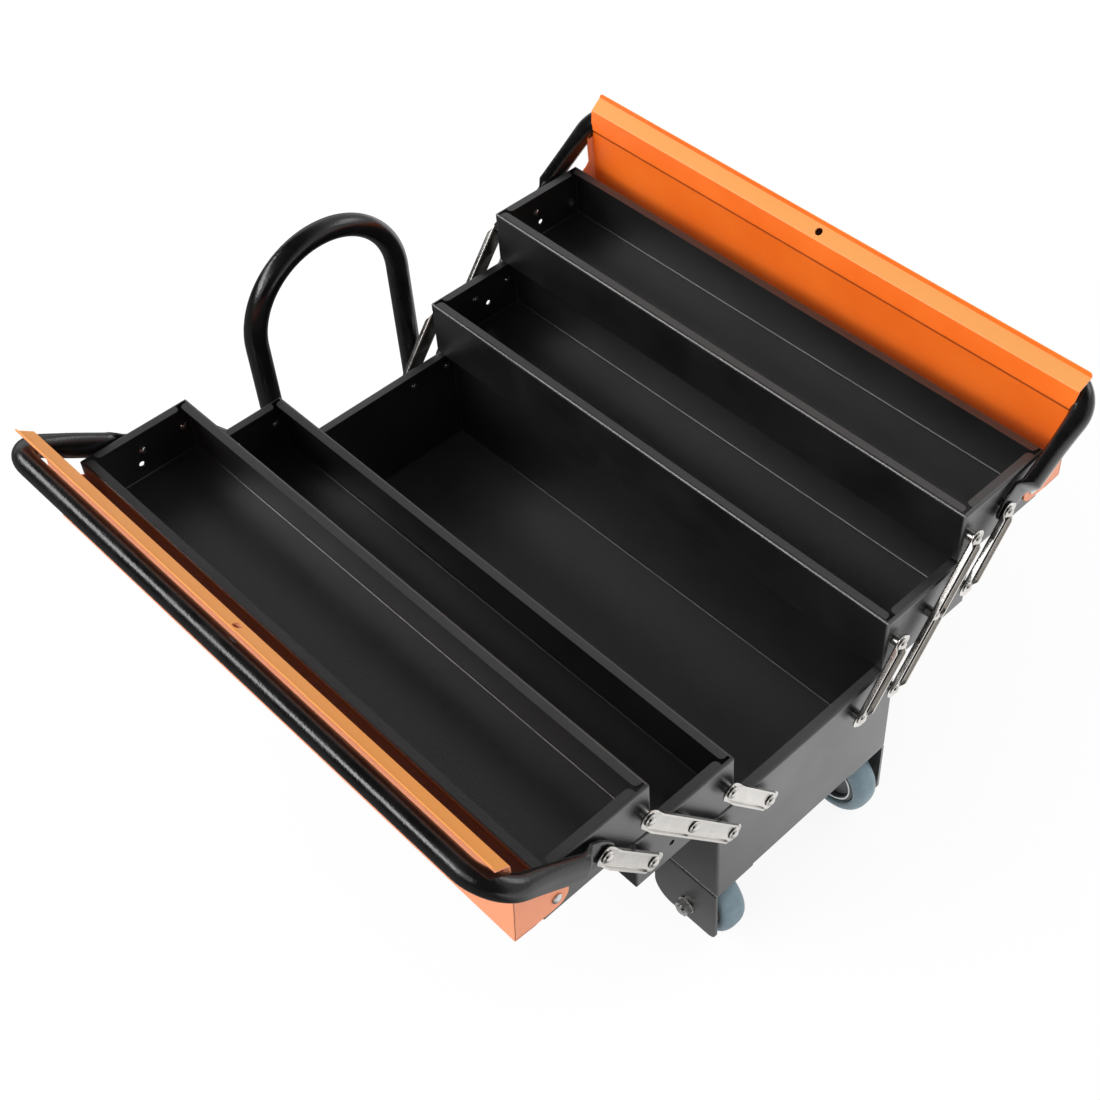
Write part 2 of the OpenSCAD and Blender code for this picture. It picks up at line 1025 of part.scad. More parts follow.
module front_top_tray() {
    color([0.13, 0.13, 0.14])
        place()
            to_front()
                top_tray_shape();
}

module back_inner_link_left() {
    color([0.8, 0.8, 0.82])
        place()
            mirror([1, 0, 0])
                set_link(a_line, base_pivot_z, 1);
}

module back_inner_link_right() {
    color([0.8, 0.8, 0.82])
        place()
            set_link(a_line, base_pivot_z, 1);
}

module back_long_link_left() {
    color([0.8, 0.8, 0.82])
        place()
            mirror([1, 0, 0])
                set_link(b_line, base_pivot_z, 2);
}

module back_long_link_right() {
    color([0.8, 0.8, 0.82])
        place()
            set_link(b_line, base_pivot_z, 2);
}

module back_outer_link_left() {
    color([0.8, 0.8, 0.82])
        place()
            mirror([1, 0, 0])
                set_link(c_line + step_out, middle_pivot_z, 1);
}

module back_outer_link_right() {
    color([0.8, 0.8, 0.82])
        place()
            set_link(c_line + step_out, middle_pivot_z, 1);
}

module front_inner_link_left() {
    color([0.8, 0.8, 0.82])
        place()
            to_front()
                mirror([1, 0, 0])
                    set_link(a_line, base_pivot_z, 1);
}

module front_inner_link_right() {
    color([0.8, 0.8, 0.82])
        place()
            to_front()
                set_link(a_line, base_pivot_z, 1);
}

module front_long_link_left() {
    color([0.8, 0.8, 0.82])
        place()
            to_front()
                mirror([1, 0, 0])
                    set_link(b_line, base_pivot_z, 2);
}

module front_long_link_right() {
    color([0.8, 0.8, 0.82])
        place()
            to_front()
                set_link(b_line, base_pivot_z, 2);
}

module front_outer_link_left() {
    color([0.8, 0.8, 0.82])
        place()
            to_front()
                mirror([1, 0, 0])
                    set_link(c_line + step_out, middle_pivot_z, 1);
}

module front_outer_link_right() {
    color([0.8, 0.8, 0.82])
        place()
            to_front()
                set_link(c_line + step_out, middle_pivot_z, 1);
}

// Rivets of the back middle tray, both ends
module middle_rivet_set() {
    both_ends()
        for (line = [a_line, b_line, c_line])
            pivot_rivet(line + step_out, middle_pivot_z);
}

// Sleeves of the back middle tray, both ends
module middle_sleeve_set() {
    both_ends()
        for (line = [a_line, b_line, c_line])
            pivot_sleeve(line + step_out, middle_pivot_z);
}

// Rivets of the back top tray, both ends
module top_rivet_set() {
    both_ends()
        for (line = [b_line, c_line])
            pivot_rivet(line + 2 * step_out, top_pivot_z);
}

// Sleeve of the long link and washer of the grip on the back top tray
module top_sleeve_set() {
    both_ends() {
        pivot_sleeve(b_line + 2 * step_out, top_pivot_z);
        translate([0, grip_y, top_pivot_z])
            difference() {
                bar_x(half_length, half_length + washer_out, 6.5);
                bar_x(half_length - 1, half_length + washer_out + 1, bore_r);
            }
    }
}

module back_middle_rivets() {
    color([0.8, 0.8, 0.82])
        place()
            middle_rivet_set();
}

module front_middle_rivets() {
    color([0.8, 0.8, 0.82])
        place()
            to_front()
                middle_rivet_set();
}

module back_middle_sleeves() {
    color([0.75, 0.75, 0.77])
        place()
            middle_sleeve_set();
}

module front_middle_sleeves() {
    color([0.75, 0.75, 0.77])
        place()
            to_front()
                middle_sleeve_set();
}

module back_top_rivets() {
    color([0.8, 0.8, 0.82])
        place()
            top_rivet_set();
}

module front_top_rivets() {
    color([0.8, 0.8, 0.82])
        place()
            to_front()
                top_rivet_set();
}

module back_top_sleeves() {
    color([0.75, 0.75, 0.77])
        place()
            top_sleeve_set();
}

module front_top_sleeves() {
    color([0.75, 0.75, 0.77])
        place()
            to_front()
                top_sleeve_set();
}

// Lid of the back side, opened about its hinge
module lid_shape(open) {
    translate([0, hinge_y, hinge_z])
        rotate([-open, 0, 0])
            lid_about_hinge();
}

module back_lid() {
    color([0.9, 0.4, 0.1])
        place()
            lid_shape(back_lid_open);
}

module front_lid() {
    color([0.9, 0.4, 0.1])
        place()
            to_front()
                lid_shape(front_lid_open);
}

// Hinge screws of the back lid: shank, outer head, inner washer and nut
module lid_screw_set() {
    both_ends()
        translate([0, hinge_y, hinge_z]) {
            bar_x(half_length - sheet - 5, ear_out + side_play, screw_shank / 2);
            translate([ear_out + side_play, 0, 0]) {
                bar_x(0, 0.8, 4);
                translate([0.8, 0, 0])
                    dome_x(4, 1.6);
            }
            translate([half_length - sheet - 3.4, 0, 0])
                rotate([0, 90, 0])
                    cylinder(h = 3.4, r = 3.5 / cos(30), $fn = 6);
        }
}

module back_lid_screws() {
    color([0.78, 0.78, 0.8])
        place()
            lid_screw_set();
}

module front_lid_screws() {
    color([0.78, 0.78, 0.8])
        place()
            to_front()
                lid_screw_set();
}

// Grip of the back side, swung out to its rest angle
module grip_set(rest) {
    translate([0, grip_y, top_pivot_z])
        rotate([rest - 90, 0, 0])
            grip_shape();
}

module back_grip() {
    color([0.06, 0.06, 0.07])
        place()
            grip_set(back_grip_rest);
}

module front_grip() {
    color([0.06, 0.06, 0.07])
        place()
            to_front()
                grip_set(front_grip_rest);
}

base_box();
base_rivets();
base_sleeves();
front_wheel_bracket();
back_wheel_bracket();
axle_bolts();
axle_nuts();
front_tyre();
back_tyre();
front_hub();
back_hub();
front_foot_bracket();
back_foot_bracket();
foot_pads();
pull_brackets();
pull_bolts();
pull_handle();
back_middle_tray();
back_top_tray();
front_middle_tray();
front_top_tray();
back_inner_link_left();
back_inner_link_right();
back_long_link_left();
back_long_link_right();
back_outer_link_left();
back_outer_link_right();
front_inner_link_left();
front_inner_link_right();
front_long_link_left();
front_long_link_right();
front_outer_link_left();
front_outer_link_right();
back_middle_rivets();
back_middle_sleeves();
back_top_rivets();
back_top_sleeves();
front_middle_rivets();
front_middle_sleeves();
front_top_rivets();
front_top_sleeves();
back_lid();
front_lid();
back_lid_screws();
front_lid_screws();
back_grip();
front_grip();
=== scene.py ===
import json
import math

import bmesh
import bpy
from mathutils import Matrix, Vector


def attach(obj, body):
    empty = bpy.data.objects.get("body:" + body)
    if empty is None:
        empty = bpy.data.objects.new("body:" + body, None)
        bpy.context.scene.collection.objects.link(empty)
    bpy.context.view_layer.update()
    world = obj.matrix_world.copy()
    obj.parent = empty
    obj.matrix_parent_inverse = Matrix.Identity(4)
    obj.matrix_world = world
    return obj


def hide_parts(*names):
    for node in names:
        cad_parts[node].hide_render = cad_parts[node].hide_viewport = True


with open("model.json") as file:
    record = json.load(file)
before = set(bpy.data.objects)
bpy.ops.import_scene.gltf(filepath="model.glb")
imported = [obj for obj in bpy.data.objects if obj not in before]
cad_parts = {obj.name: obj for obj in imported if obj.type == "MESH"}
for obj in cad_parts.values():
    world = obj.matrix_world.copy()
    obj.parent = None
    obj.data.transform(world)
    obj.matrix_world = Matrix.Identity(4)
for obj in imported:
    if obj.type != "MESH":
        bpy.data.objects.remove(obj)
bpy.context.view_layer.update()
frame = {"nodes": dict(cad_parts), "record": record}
scene = bpy.context.scene
nodes = frame["nodes"]
print("frame loaded:", len(nodes), "nodes")


# Shader maths: a wire is one socket, and maths on wires adds Math nodes
class Wire:
    def __init__(self, board, socket):
        self.board = board
        self.socket = socket

    def maths(self, operation, *values):
        return self.board.add("Math", {"operation": operation}, dict(enumerate(values)))

    def __add__(self, other):
        return self.maths("ADD", self, other)

    def __sub__(self, other):
        return self.maths("SUBTRACT", self, other)

    def __rsub__(self, other):
        return self.maths("SUBTRACT", other, self)

    def __mul__(self, other):
        return self.maths("MULTIPLY", self, other)


# The node tree of a material or the world, with a method that makes any node
class Board:
    def __init__(self, owner, end):
        owner.use_nodes = True
        self.material = owner
        self.tree = owner.node_tree
        self.tree.nodes.clear()
        self.end = self.tree.nodes.new("ShaderNode" + end)

    def add(self, kind, settings=None, sockets=None, out=0):
        node = self.tree.nodes.new("ShaderNode" + kind)
        for key, value in (settings or {}).items():
            setattr(node, key, value)
        for key, value in (sockets or {}).items():
            self.feed(node.inputs[key], value)
        return Wire(self, node.outputs[out])

    def feed(self, socket, value):
        if isinstance(value, Wire):
            self.tree.links.new(value.socket, socket)
        else:
            socket.default_value = value

    def place(self):
        return self.add("TexCoord", out="Object")

    def facing(self, axis):
        return self.add("SeparateXYZ", None, {0: self.add("TexCoord", out="Normal")}, out=axis)

    def noise(self, size, detail=2.0, rough=0.5, stretch=None):
        where = self.place()
        if stretch:
            where = self.add("Mapping", None, {"Vector": where, "Scale": stretch})
        sockets = {"Vector": where, "Scale": 1 / size, "Detail": detail, "Roughness": rough}
        return self.add("TexNoise", None, sockets)

    def spread(self, wire, low, high, new=(0.0, 1.0)):
        return self.add("MapRange", None, {0: wire, 1: low, 2: high, 3: new[0], 4: new[1]})

    def between(self, factor, first, second):
        return self.add("Mix", {"data_type": "RGBA"}, {0: factor, 6: first, 7: second}, out=2)

    def bump(self, height, depth, strength):
        return self.add("Bump", None, {"Height": height, "Distance": depth, "Strength": strength})

    def finish(self, **sockets):
        named = {key.replace("_", " "): value for key, value in sockets.items()}
        surface = self.add("BsdfPrincipled", None, named)
        self.tree.links.new(surface.socket, self.end.inputs["Surface"])
        return self.material


# Light paths: 1 for rays from the camera or through glass, and 1 for rays from gloss
def raysOf(board):
    isCamera = board.add("LightPath", out="Is Camera Ray")
    isClear = board.add("LightPath", out="Is Transmission Ray")
    return isCamera.maths("MAXIMUM", isCamera, isClear), board.add("LightPath", out="Is Glossy Ray")


def newMaterial(name):
    return Board(bpy.data.materials.new(name), "OutputMaterial")


def rgb(red, green, blue):  # display colour, 0 to 255, to linear
    def linear(c):
        c /= 255
        return c / 12.92 if c <= 0.04045 else ((c + 0.055) / 1.055) ** 2.4

    return (linear(red), linear(green), linear(blue), 1.0)


powderLook = {
    "peel": 0.0021,  # size of the orange-peel cells
    "depth": 0.00012,
    "dark": rgb(3, 3, 3),
    "light": rgb(9, 9, 9),
    "dust": rgb(18, 18, 19),  # painted sheen: faces that look up are painted lighter, standing in for the light they reflect from above
    "rough": (0.34, 0.46),
}


def powderCoat(name, look):
    board = newMaterial(name)
    peel = board.noise(look["peel"], 3.0, 0.55)
    cloud = board.noise(0.06, 3.0, 0.6)
    dust = board.noise(0.0007, 1.0, 0.5)
    patch = board.spread(cloud + peel * 0.3, 0.45, 0.85)
    colour = board.between(patch, look["dark"], look["light"])
    # Faces that look up are painted lighter: a painted sheen standing in for light reflected from
    # above
    flat = board.spread(board.facing("Z"), 0.8, 0.98, (0.0, 0.7))
    upSheenMask = flat * board.spread(cloud, 0.2, 0.8, (0.6, 1.0))
    colour = board.between(upSheenMask, colour, look["dust"])
    rough = board.spread(cloud * 0.7 + dust * 0.5, 0.4, 0.8, look["rough"])
    height = peel + dust * 0.25
    return board.finish(
        Base_Color=colour, Roughness=rough, Normal=board.bump(height, look["depth"], 0.8), IOR=2.0
    )


lidLook = {
    "grain": 0.0011,
    "depth": 0.00006,
    "deep": rgb(238, 104, 22),
    "warm": rgb(246, 116, 30),
    "band": rgb(222, 146, 70),  # painted highlight on the strips that look up
    "outer": rgb(232, 146, 106),  # ears and the outer face painted paler, standing in for the light that falls on them
    "shade": rgb(120, 40, 8),  # painted shade in the pressed line
    "crease": 0.3337,  # height of the pressed line
    "bandFrom": (0.003, 0.006),  # above the line, where the painted highlight on the strips begins
    "pressed": (0.0000008, 0.000002),  # square of the way from the line, where the painted shade is full and where it has faded
    "side": 1.0,  # which way along Y the outer face looks
    "rough": (0.38, 0.5),
}


def lidPaint(name, look):
    board = newMaterial(name)
    grain = board.noise(look["grain"], 2.0, 0.5)
    cloud = board.noise(0.09, 3.0, 0.6)
    colour = board.between(board.spread(cloud, 0.35, 0.7), look["deep"], look["warm"])
    across, out = board.facing("X"), board.facing("Y") * look["side"]
    height = board.add("SeparateXYZ", None, {0: board.place()}, out="Z")
    # Strips above the pressed line that look up get a painted highlight
    above = board.spread(height, *(look["crease"] + rise for rise in look["bandFrom"]))
    colour = board.between(board.spread(board.facing("Z"), 0.3, 0.7) * above, colour, look["band"])
    # Painted shade along the pressed line, fading away from it
    away = height - look["crease"]
    pressed = board.spread(away * away, *look["pressed"], (0.75, 0.0))
    colour = board.between(pressed, colour, look["shade"])
    # Ends and the outer face are painted paler, standing in for the light that falls on them
    ends, face = board.spread(across * across, 0.3, 0.7), board.spread(out, 0.4, 0.7)
    outer = across.maths("MAXIMUM", ends, face)
    colour = board.between(outer, colour, look["outer"])
    rough = board.spread(cloud * 0.6 + grain * 0.4, 0.35, 0.7, look["rough"])
    return board.finish(
        Base_Color=colour, Roughness=rough, Normal=board.bump(grain, look["depth"], 0.8), IOR=1.5
    )


glossLook = {
    "peel": 0.0017,
    "depth": 0.00016,
    "dark": rgb(12, 12, 13),
    "light": rgb(22, 21, 22),
    "rough": (0.16, 0.26),
}


def glossEnamel(name, look):
    board = newMaterial(name)
    peel = board.noise(look["peel"], 2.0, 0.5)
    cloud = board.noise(0.03, 3.0, 0.6)
    colour = board.between(board.spread(cloud, 0.35, 0.7), look["dark"], look["light"])
    rough = board.spread(cloud, 0.35, 0.7, look["rough"])
    return board.finish(
        Base_Color=colour, Roughness=rough, Normal=board.bump(peel, look["depth"], 0.8), IOR=1.5
    )


def plating(name, colour, rough, depth):
    board = newMaterial(name)
    cloud = board.noise(0.012, 3.0, 0.6)
    scratch = board.noise(0.0008, 2.0, 0.5, (1, 1, 6))
    tint = board.between(board.spread(cloud, 0.35, 0.7), colour[0], colour[1])
    shine = board.spread(cloud * 0.6 + scratch * 0.4, 0.35, 0.7, rough)
    return board.finish(
        Base_Color=tint, Metallic=1.0, Roughness=shine, Normal=board.bump(scratch, depth, 0.5)
    )


def rubber(name, dark, light, rough):
    board = newMaterial(name)
    grain = board.noise(0.0009, 2.0, 0.5)
    cloud = board.noise(0.02, 3.0, 0.6)
    colour = board.between(board.spread(cloud, 0.35, 0.7), dark, light)
    shade = board.spread(cloud * 0.6 + grain * 0.4, 0.35, 0.7, rough)
    return board.finish(
        Base_Color=colour, Roughness=shade, Normal=board.bump(grain, 0.00006, 0.6), IOR=1.5
    )


finishes = {
    "box_powder": powderCoat("boxPowder", powderLook),
    # The base floor gets a stronger painted sheen, standing in for the light it reflects from above
    "base_powder": powderCoat("basePowder", dict(powderLook, dust=rgb(46, 46, 49))),
    "bracket_powder": powderCoat("bracketPowder", dict(powderLook, rough=(0.32, 0.46))),
    "lid_orange": lidPaint("lidOrange", lidLook),
    "front_lid_orange": lidPaint("frontLidOrange", dict(lidLook, side=-1.0, crease=0.335)),
    "handle_gloss": glossEnamel("handleGloss", glossLook),
    "link_chrome": plating(
        "linkChrome", (rgb(187, 184, 180), rgb(197, 194, 190)), (0.15, 0.22), 0.00002
    ),
    "fastener_zinc": plating(
        "fastenerZinc", (rgb(176, 176, 176), rgb(206, 205, 202)), (0.22, 0.36), 0.00004
    ),
    "tyre": rubber("tyreRubber", rgb(100, 120, 130), rgb(124, 145, 155), (0.4, 0.55)),
    "trim": plating("hubTrim", (rgb(170, 172, 174), rgb(196, 198, 200)), (0.3, 0.42), 0.00003),
    "hub": rubber("hubPlastic", rgb(44, 46, 50), rgb(58, 60, 64), (0.34, 0.48)),
    "pad": rubber("padRubber", rgb(24, 24, 24), rgb(36, 36, 36), (0.5, 0.65)),
}
slotOf = {part["node"]: part["material_slot"] for part in frame["record"]["subparts"]}
slotOf["base_box"] = "base_powder"
for name, node in nodes.items():
    for slot in node.material_slots:
        slot.material = finishes[slotOf[name]]
print("finishes set:", len(finishes))

middleX = 0.012  # middle of the sheet box along X


def newPiece(name, mesh, material, rider, *replaced):
    piece = bpy.data.objects.new(name, mesh)
    scene.collection.objects.link(piece)
    mesh.materials.clear()
    mesh.materials.append(material)
    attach(piece, rider)
    if replaced:
        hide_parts(*replaced)
    return piece


def meshOf(name, bm, sharp=35):
    bmesh.ops.recalc_face_normals(bm, faces=bm.faces)
    mesh = bpy.data.meshes.new(name)
    bm.to_mesh(mesh)
    bm.free()
    mesh.shade_smooth()
    mesh.set_sharp_from_angle(angle=math.radians(sharp))
    return mesh


def jointPlace(name):
    for joint in frame["record"]["behaviour"]["joints"]:
        if joint["name"] == name:
            return Vector(joint["pos_m"])


def smoothStep(low, high, value):
    t = min(max((value - low) / (high - low), 0.0), 1.0)
    return t * t * (3 - 2 * t)


# Ring of points round a path, joined to the last ring
def joinRings(bm, rings, closeEnds=True):
    for first, second in zip(rings, rings[1:]):
        count = len(first)
        for i in range(count):
            bm.faces.new((first[i], first[(i + 1) % count], second[(i + 1) % count], second[i]))
    if closeEnds:
        bm.faces.new(rings[0])
        bm.faces.new(rings[-1])


gripSizes = {
    "radius": 0.0092,
    "reach": 0.115,
    "bend": 0.029,
    "inner": 0.2668,  # inner face of the arms, from the middle of the box
    "arm": (0.0108, 0.0071),  # half width and half thickness of the flattened arms
    "plate": 0.0017,  # half thickness of the crimped ends
    "flare": 0.0128,  # half width of the crimp at its widest
    "crimp": (0.019, 0.029),  # where the crimp opens and where the arm is at its size
    "round": (0.055, 0.1),  # where the arm starts and ends turning round
    "tip": 0.0092,  # half width of the rounded end at the pivot
    "tipEnd": 0.0095,  # from the pivot to the very end
    "tipGrow": (-0.004, 0.012),  # where the tip widens to the crimp
    "square": 0.72,  # how square the crimped section is
    "steps": [-0.0094, -0.009, -0.008, -0.006, -0.003, 0, 0.004, 0.008, 0.012, 0.016]
    + [0.018 + 0.001 * i for i in range(18)] + [0.04, 0.05, 0.06, 0.068, 0.076],
    "bendSteps": 14,
    "ring": 40,
    "rest": {"back": 33.0, "front": 35.0},  # degrees above level
}


# Section of the tube at a distance along the arm: half width and half thickness
def gripSection(size, along):
    armWide, armDeep = size["arm"]
    low, high = size["crimp"]
    opened = smoothStep(low, high, along)
    rounded = smoothStep(*size["round"], along)
    deep = size["plate"] + (armDeep - size["plate"]) * opened
    deep += (size["radius"] - armDeep) * rounded
    narrow = smoothStep(low - 0.001, high + 0.004, along)
    wide = size["flare"] + (armWide - size["flare"]) * narrow
    wide += (size["radius"] - armWide) * rounded
    if along < size["tipGrow"][1]:
        grown = (size["flare"] - size["tip"]) * smoothStep(*size["tipGrow"], along)
        wide = min(wide, size["tip"] + grown)
    if along < 0:
        wide *= math.sqrt(max(0.0, 1 - (along / size["tipEnd"]) ** 2))
    return wide, deep


def gripMesh(name, size, angle, side, pivot):
    bm = bmesh.new()
    radius, reach, bend = size["radius"], size["reach"], size["bend"]
    middle = size["inner"] + size["arm"][1]
    out = Vector((0, side * math.cos(angle), math.sin(angle)))
    across = Vector((0, -side * math.sin(angle), math.cos(angle)))
    stations = []
    for along in size["steps"]:
        wide, deep = gripSection(size, along)
        stations.append((min(size["inner"] + deep, middle), along, 0.0, wide, deep))
    for i in range(size["bendSteps"] + 1):
        turn = math.radians(90 * i / size["bendSteps"])
        along = reach - bend + bend * math.sin(turn)
        wide, deep = gripSection(size, along)
        stations.append((middle - bend + bend * math.cos(turn), along, turn, wide, deep))
    mirrored = [(-x, along, math.pi - turn, wide, deep) for x, along, turn, wide, deep in stations]
    rings = []
    for x, along, turn, wide, deep in stations + mirrored[::-1]:
        centre = Vector((middleX + x, pivot.y, pivot.z)) + out * along
        normal = Vector((math.cos(turn), 0, 0)) + out * math.sin(turn)
        power = 1 - size["square"] * smoothStep(size["arm"][1], size["plate"], deep)
        ring = []
        for k in range(size["ring"]):
            round_ = 2 * math.pi * k / size["ring"]
            c, q = math.cos(round_), math.sin(round_)
            c = math.copysign(abs(c) ** power, c)
            ring.append(bm.verts.new(centre + normal * (deep * c) + across * (wide * q)))
        rings.append(ring)
    joinRings(bm, rings)
    return meshOf(name, bm, 30)


for side, word in ((1, "back"), (-1, "front")):
    pivot = jointPlace(word + "_grip_swing")
    rest = math.radians(gripSizes["rest"][word])
    mesh = gripMesh(word + "GripTube", gripSizes, rest, side, pivot)
    newPiece(word + "GripTube", mesh, finishes["handle_gloss"], word + "_grip", word + "_grip")
print("grip tubes made")

lidSizes = {
    "sheet": 0.001,
    "bend": 0.0011,
    # skirt, outer corner and first crease
    "path": [(0.0127, 0.0172), (0.0127, 0.0361), (-0.061, 0.0384)],
    "strips": [(0.0165, 13), (0.014, 60), (0.0042, 15)],  # length and slope of return, band and lip
    "halves": (0.2664, 0.2684, 0.2696),  # half length at the panel, the return and the band
    "lipRound": 0.003,
    "earRadius": 0.011,
    "earStrip": 0.008,
    "groove": (0.0022, 0.0017),  # width and depth of the pressed line along the first crease
    "hole": 0.0035,
    "open": {"back": 87.0, "front": 84.7},  # degrees from closed
    "finish": {"back": "lid_orange", "front": "front_lid_orange"},
}


def unit(vector):
    return vector / vector.length


# Points and normals along one face of a folded sheet, with arcs at the folds
def foldLine(path, bend, step=9):
    line = []
    for i, point in enumerate(path):
        if i in (0, len(path) - 1):
            way = unit(path[1] - path[0]) if i == 0 else unit(path[-1] - path[-2])
            line.append((point, Vector((-way.y, way.x)), i))
            continue
        before, after = unit(point - path[i - 1]), unit(path[i + 1] - point)
        turn = math.atan2(before.x * after.y - before.y * after.x, before.dot(after))
        count = max(2, math.ceil(abs(math.degrees(turn)) / step))
        cut = bend * math.tan(abs(turn) / 2)
        start = point - before * cut
        side = Vector((-before.y, before.x)) * math.copysign(1, turn)
        middle = start + side * bend
        for k in range(count + 1):
            angle = turn * k / count
            arm = Vector((-side.x, -side.y))
            turned = Vector((
                arm.x * math.cos(angle) - arm.y * math.sin(angle),
                arm.x * math.sin(angle) + arm.y * math.cos(angle),
            ))
            normal = turned * -math.copysign(1, turn)
            line.append((middle + turned * bend, normal, i))
    return line


def lidPath(size):
    path = [Vector(point) for point in size["path"]]
    for length, slope in size["strips"]:
        turn = math.radians(slope)
        path.append(path[-1] + Vector((-length * math.cos(turn), length * math.sin(turn))))
    return path


# Half length of the sheet at a distance along the section
def lidHalf(size, fold, fromEnd):
    panel, strip, band = size["halves"]
    half = panel if fold <= 2 else strip if fold == 3 else band
    corner = size["lipRound"]
    if fromEnd < corner:
        half -= corner - math.sqrt(max(0.0, corner ** 2 - (corner - fromEnd) ** 2))
    return half


def lidMesh(name, size, angle, side, hinge):
    path = lidPath(size)
    line = foldLine(path, size["bend"])
    width, depth = size["groove"]
    first = next(k for k, (point, normal, fold) in enumerate(line) if fold == 2)
    point, normal, fold = line[first]
    way = Vector((normal.y, -normal.x))
    dip = [(point - way * w + normal * -d, normal, 1) for w, d in (
        (width * 1.5, 0), (width * 1.25, depth), (width * 0.75, depth), (width * 0.5, 0))]
    line[first:first] = dip
    end, last = path[-1], unit(path[-1] - path[-2])
    normal = line[-1][1]
    extra = []
    for lean in range(0, 90, 15):
        short = size["lipRound"] * (1 - math.sin(math.radians(lean)))
        extra.append((end - last * short, normal, 5))
    line[-1:] = extra + [(end, normal, 5)]
    cos_, sin_ = math.cos(angle), math.sin(angle)

    def place(x, point):
        out = point.x * cos_ + point.y * sin_
        up = -point.x * sin_ + point.y * cos_
        return Vector((middleX + x, hinge.y + side * out, hinge.z + up))

    bm = bmesh.new()
    rows = []
    for point, normal, fold in line:
        half = lidHalf(size, fold, (end - point).length if fold == 5 else 1.0)
        inside = point + normal * size["sheet"]
        rows.append([bm.verts.new(place(x, p)) for p, x in (
            (point, -half), (point, half), (inside, half), (inside, -half))])
    joinRings(bm, rows)
    sheet, radius, strip = size["sheet"], size["earRadius"], size["earStrip"]
    skin = sheet / 2
    corner, crease = path[1], path[2]
    lowIn = Vector((crease.x + 0.0385, crease.y - 0.0164))
    lowOut = Vector((path[0].x - skin, path[0].y))
    outline = [
        lowOut,
        Vector((corner.x - skin, corner.y - 0.002)),
        Vector((corner.x - 0.002, corner.y - skin)),
        Vector((crease.x + 0.001, crease.y - skin)),
        Vector((crease.x + 0.001, crease.y - 0.002)),
        Vector((crease.x + 0.0075, crease.y - strip)),
        Vector((lowIn.x - 0.006, crease.y - strip - 0.0006)),
        Vector((lowIn.x - 0.002, lowIn.y + 0.004)),
        lowIn,
    ]

    def touch(point, way):
        base, opened = math.atan2(point.y, point.x), math.acos(radius / point.length)
        return base + way * opened

    begin, finish = touch(lowIn, 1), touch(lowOut, -1) + 2 * math.pi
    if finish - begin > 2 * math.pi:
        finish -= 2 * math.pi
    for k in range(19):
        turn = begin + (finish - begin) * k / 18
        outline.append(Vector((radius * math.cos(turn), radius * math.sin(turn))))
    for end_ in (-1, 1):
        outer = size["halves"][0] * end_
        faces = (outer, outer - end_ * sheet)
        joinRings(bm, [[bm.verts.new(place(x, p)) for p in outline] for x in faces])
    return meshOf(name, bm, 25)


def cutHole(piece, place, axis, radius, length):
    bm = bmesh.new()
    turned = Vector(axis).to_track_quat("Z", "Y").to_matrix().to_4x4()
    bmesh.ops.create_cone(
        bm, cap_ends=True, segments=32, radius1=radius, radius2=radius, depth=length,
        matrix=Matrix.Translation(place) @ turned)
    mesh = bpy.data.meshes.new("cutter")
    bm.to_mesh(mesh)
    bm.free()
    cutter = bpy.data.objects.new("cutter", mesh)
    scene.collection.objects.link(cutter)
    change = piece.modifiers.new("hole", "BOOLEAN")
    change.operation, change.solver, change.object = "DIFFERENCE", "EXACT", cutter
    graph = bpy.context.evaluated_depsgraph_get()
    done = bpy.data.meshes.new_from_object(piece.evaluated_get(graph))
    piece.modifiers.clear()
    piece.data = done
    bpy.data.objects.remove(cutter)


mountOf = {mount["name"]: mount for mount in frame["record"]["mounts"]}
for side, word in ((1, "back"), (-1, "front")):
    hinge = jointPlace(word + "_lid_hinge")
    opened = math.radians(lidSizes["open"][word])
    mesh = lidMesh(word + "LidSheet", lidSizes, opened, side, hinge)
    paint = finishes[lidSizes["finish"][word]]
    piece = newPiece(word + "LidSheet", mesh, paint, word + "_lid", word + "_lid")
    mount = mountOf[word + "_padlock_hole"]
    cutHole(piece, Vector(mount["pos_m"]), mount["axis"], lidSizes["hole"], 0.008)
    piece.data.set_sharp_from_angle(angle=math.radians(25))
print("lid sheets made")

linkSizes = {
    "pitch": 0.068,
    "swing": math.radians(37.4),
    "half": 0.008,
    "depth": 0.0048,
    "sheet": 0.0015,
    "bend": 0.0018,
    "corner": 0.0052,  # corner radius of the web ends
    "longCorner": 0.0066,  # rounder, so that both sides pass when folded
    # from the pivot: where the side walls are at full depth and where they end
    "tip": (0.007, 0.0005),
    "web": 0.2708,
    "bore": 0.00256,
    "cut": 0.006,  # length of the cutter of a bore
}


# Half section of a channel, from the middle of its back to the middle of its front
def channelSection(size, half, depth):
    sheet, bend = size["sheet"], min(size["bend"], half * 0.9)
    depth = max(depth, sheet + 0.00002)
    outerBend = min(bend, depth - 0.00001)
    right = [Vector((0.0, 0.0))]
    for k in range(6):
        turn = math.radians(18 * k)
        across, back = outerBend * math.sin(turn), outerBend * math.cos(turn)
        right.append(Vector((half - outerBend + across, outerBend - back)))
    right += [Vector((half, depth)), Vector((half - sheet, depth))]
    inner = max(0.0, min(0.0006, depth - sheet))
    for k in range(4):
        turn = math.radians(30 * k)
        across, back = inner * math.cos(turn), inner * math.sin(turn)
        right.append(Vector((half - sheet - inner + across, sheet + inner - back)))
    right.append(Vector((0.0, sheet)))
    return right + [Vector((-p.x, p.y)) for p in right[-2:0:-1]]


